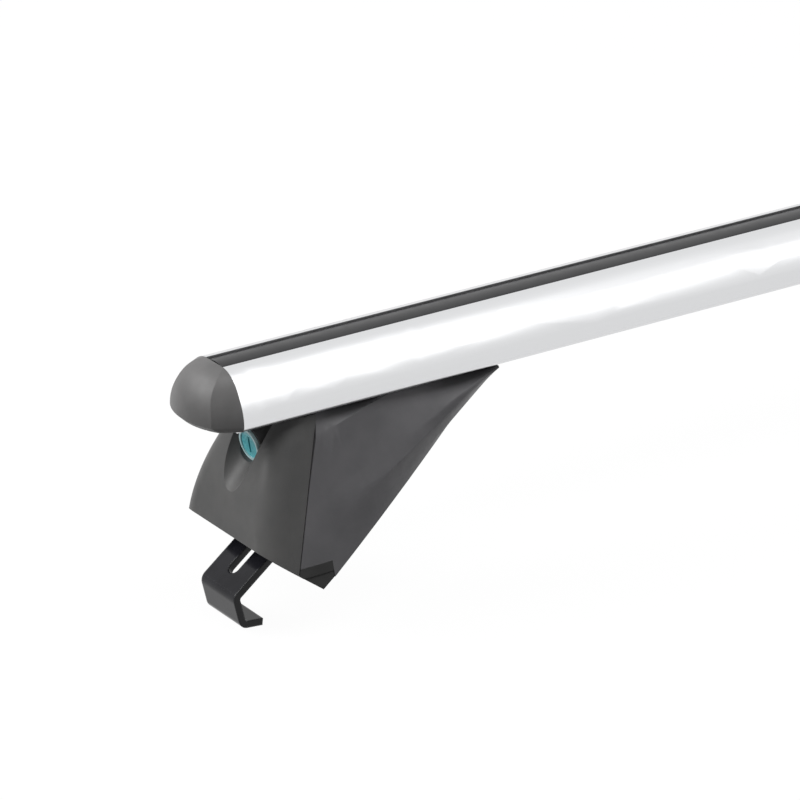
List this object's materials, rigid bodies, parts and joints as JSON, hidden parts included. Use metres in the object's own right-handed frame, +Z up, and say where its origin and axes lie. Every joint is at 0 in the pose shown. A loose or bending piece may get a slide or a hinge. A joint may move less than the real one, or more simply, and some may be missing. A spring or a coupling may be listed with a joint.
{
  "type": "roof rack cross bar",
  "caption": "Aluminium aero roof cross bar with a rubber top strip, moulded end caps and a locking clamp foot with a slotted steel hook under each end.",
  "frame": {"origin": "middle of the bar's top face, flush with the rubber strip", "axes": "+X along the bar, +Y across it in the direction of travel, +Z up"},
  "size_m": [1.236, 0.09, 0.1326],
  "materials": {
    "bar_aluminium": "satin anodised",
    "strip_rubber": "matte, finely ribbed",
    "cap_plastic": "fine moulded grain",
    "foot_plastic": "fine moulded grain",
    "pad_rubber": "matte",
    "hook_paint": "gloss black paint",
    "zinc_steel": "zinc plated",
    "lock_rim": "moulded, pale",
    "lock_face": "moulded, teal"
  },
  "bodies": {
    "rack": {"cross_bar": "bar_aluminium", "top_strip": "strip_rubber", "end_cap_left": "cap_plastic", "foot_body_left": "foot_plastic", "rail_pad_left": "pad_rubber", "clamp_plate_left": "zinc_steel", "foot_screws_left": "zinc_steel", "channel_nuts_left": "zinc_steel", "end_cap_right": "cap_plastic", "foot_body_right": "foot_plastic", "rail_pad_right": "pad_rubber", "clamp_plate_right": "zinc_steel", "foot_screws_right": "zinc_steel", "channel_nuts_right": "zinc_steel"},
    "cover_left": {"lock_cover_left": "foot_plastic", "lock_housing_left": "lock_rim"},
    "lock_left": {"lock_barrel_left": "lock_face", "lock_cam_left": "zinc_steel", "cam_screw_left": "zinc_steel"},
    "hook_left": {"clamp_hook_left": "hook_paint"},
    "bolt_left": {"clamp_bolt_left": "zinc_steel", "clamp_washer_left": "zinc_steel"},
    "nut_left": {"clamp_nut_left": "zinc_steel"},
    "cover_right": {"lock_cover_right": "foot_plastic", "lock_housing_right": "lock_rim"},
    "lock_right": {"lock_barrel_right": "lock_face", "lock_cam_right": "zinc_steel", "cam_screw_right": "zinc_steel"},
    "hook_right": {"clamp_hook_right": "hook_paint"},
    "bolt_right": {"clamp_bolt_right": "zinc_steel", "clamp_washer_right": "zinc_steel"},
    "nut_right": {"clamp_nut_right": "zinc_steel"}
  },
  "joints": [
    {"name": "cover_pull_left", "type": "slide", "parent": "rack", "child": "cover_left", "axis": [-1, 0, 0], "range_m": [0, 0.06]},
    {"name": "lock_turn_left", "type": "hinge", "parent": "cover_left", "child": "lock_left", "pos_m": [-0.5817, 0, -0.046], "axis": [0.9848, 0, 0.1736], "range_deg": [0, 90]},
    {"name": "hook_slide_left", "type": "slide", "parent": "rack", "child": "hook_left", "axis": [0.7869, 0, 0.617], "range_m": [-0.008, 0.016]},
    {"name": "bolt_turn_left", "type": "hinge", "parent": "rack", "child": "bolt_left", "pos_m": [-0.56045, 0, -0.08365], "axis": [-0.617, 0, 0.7869], "range_deg": [0, 720]},
    {"name": "nut_slide_left", "type": "slide", "parent": "rack", "child": "nut_left", "axis": [0.617, 0, -0.7869], "range_m": [0, 0.002]},
    {"name": "cover_pull_right", "type": "slide", "parent": "rack", "child": "cover_right", "axis": [1, 0, 0], "range_m": [0, 0.06]},
    {"name": "lock_turn_right", "type": "hinge", "parent": "cover_right", "child": "lock_right", "pos_m": [0.5817, 0, -0.046], "axis": [-0.9848, 0, 0.1736], "range_deg": [0, 90]},
    {"name": "hook_slide_right", "type": "slide", "parent": "rack", "child": "hook_right", "axis": [-0.7869, 0, 0.617], "range_m": [-0.008, 0.016]},
    {"name": "bolt_turn_right", "type": "hinge", "parent": "rack", "child": "bolt_right", "pos_m": [0.56045, 0, -0.08365], "axis": [0.617, 0, 0.7869], "range_deg": [0, 720]},
    {"name": "nut_slide_right", "type": "slide", "parent": "rack", "child": "nut_right", "axis": [-0.617, 0, -0.7869], "range_m": [0, 0.002]}
  ],
  "couplings": [
    {"joint": "nut_slide_left", "follows": "bolt_turn_left", "m_per_rad": 0.000159},
    {"joint": "nut_slide_right", "follows": "bolt_turn_right", "m_per_rad": 0.000159}
  ]
}
